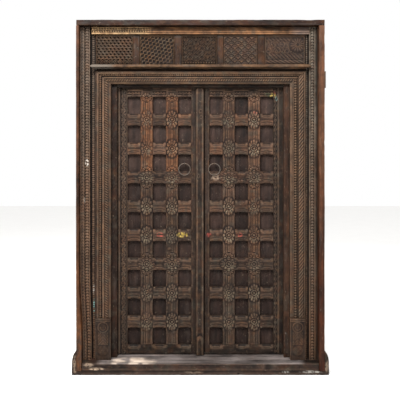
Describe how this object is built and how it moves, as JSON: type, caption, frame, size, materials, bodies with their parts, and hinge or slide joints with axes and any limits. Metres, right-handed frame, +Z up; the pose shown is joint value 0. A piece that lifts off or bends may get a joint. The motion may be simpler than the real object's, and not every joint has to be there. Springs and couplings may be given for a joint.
{
  "type": "carved double door with frame",
  "caption": "Old carved wooden double door in its moulded frame: lattice leaves with rosettes that open inwards on pivots, iron ring pulls, carved frieze and horned threshold.",
  "frame": {"origin": "on the floor under the middle of the threshold, halfway through the frame's depth", "axes": "+Z up, +X to the viewer's right seen from the carved front, +Y from the front to the back, the way the leaves open"},
  "size_m": [1.74, 0.23, 2.4],
  "materials": {
    "carved_wood": "weathered grey-brown carved hardwood, dry, with dark dirt in the cuts and worn lighter edges",
    "lattice_wood": "weathered warm brown hardwood with traces of old paint, dry",
    "plank_wood": "dark weathered boards, matt",
    "board_wood": "plain reddish brown planks, satin where handled",
    "block_wood": "bare orange-brown wood, matt",
    "threshold_wood": "worn hardwood, pale where trodden bare",
    "iron": "forged iron, dark brown patina, dull"
  },
  "bodies": {
    "frame": {"threshold": "threshold_wood", "left_post": "carved_wood", "right_post": "carved_wood", "head_beam": "carved_wood", "door_head": "plank_wood", "top_surround_board": "board_wood", "left_surround_board": "board_wood", "right_surround_board": "board_wood", "frieze_back_board": "plank_wood", "frieze_panel_1": "carved_wood", "frieze_panel_2": "carved_wood", "frieze_panel_3": "carved_wood", "frieze_panel_4": "carved_wood", "frieze_panel_5": "carved_wood", "frieze_block_1": "block_wood", "frieze_block_2": "block_wood", "frieze_block_3": "block_wood", "frieze_block_4": "block_wood", "transom_ledge": "block_wood", "casing_header": "carved_wood", "left_casing": "carved_wood", "right_casing": "carved_wood", "left_base_block": "carved_wood", "right_base_block": "carved_wood", "left_jamb": "block_wood", "right_jamb": "block_wood", "head_stop": "plank_wood", "side_strap": "iron", "bottom_sockets": "iron", "top_sockets": "iron", "frame_nails": "iron"},
    "left_leaf": {"left_hanging_stile": "carved_wood", "left_meeting_stile": "carved_wood", "left_top_rail": "lattice_wood", "left_upper_rail": "lattice_wood", "left_lower_rail": "lattice_wood", "left_bottom_rail": "lattice_wood", "left_uprights": "lattice_wood", "left_crossbars": "lattice_wood", "left_planks": "plank_wood", "left_back_ledges": "plank_wood", "left_pivot_pins": "iron", "left_ring_staple": "iron", "left_leaf_nails": "iron", "astragal": "lattice_wood"},
    "right_leaf": {"right_hanging_stile": "carved_wood", "right_meeting_stile": "carved_wood", "right_top_rail": "lattice_wood", "right_upper_rail": "lattice_wood", "right_lower_rail": "lattice_wood", "right_bottom_rail": "lattice_wood", "right_uprights": "lattice_wood", "right_crossbars": "lattice_wood", "right_planks": "plank_wood", "right_back_ledges": "plank_wood", "right_pivot_pins": "iron", "right_ring_staple": "iron", "right_leaf_nails": "iron"},
    "left_ring": {"left_ring": "iron"},
    "right_ring": {"right_ring": "iron"}
  },
  "joints": [
    {"name": "left_leaf_pivot", "type": "hinge", "parent": "frame", "child": "left_leaf", "pos_m": [-0.59, 0.053, 0.1], "axis": [0, 0, 1], "range_deg": [0, 90]},
    {"name": "right_leaf_pivot", "type": "hinge", "parent": "frame", "child": "right_leaf", "pos_m": [0.59, 0.053, 0.1], "axis": [0, 0, -1], "range_deg": [0, 90]},
    {"name": "left_ring_swing", "type": "hinge", "parent": "left_leaf", "child": "left_ring", "pos_m": [-0.111, 0.0205, 1.42725], "axis": [-1, 0, 0], "range_deg": [0, 150]},
    {"name": "right_ring_swing", "type": "hinge", "parent": "right_leaf", "child": "right_ring", "pos_m": [0.097, 0.0205, 1.42725], "axis": [-1, 0, 0], "range_deg": [0, 150]}
  ]
}
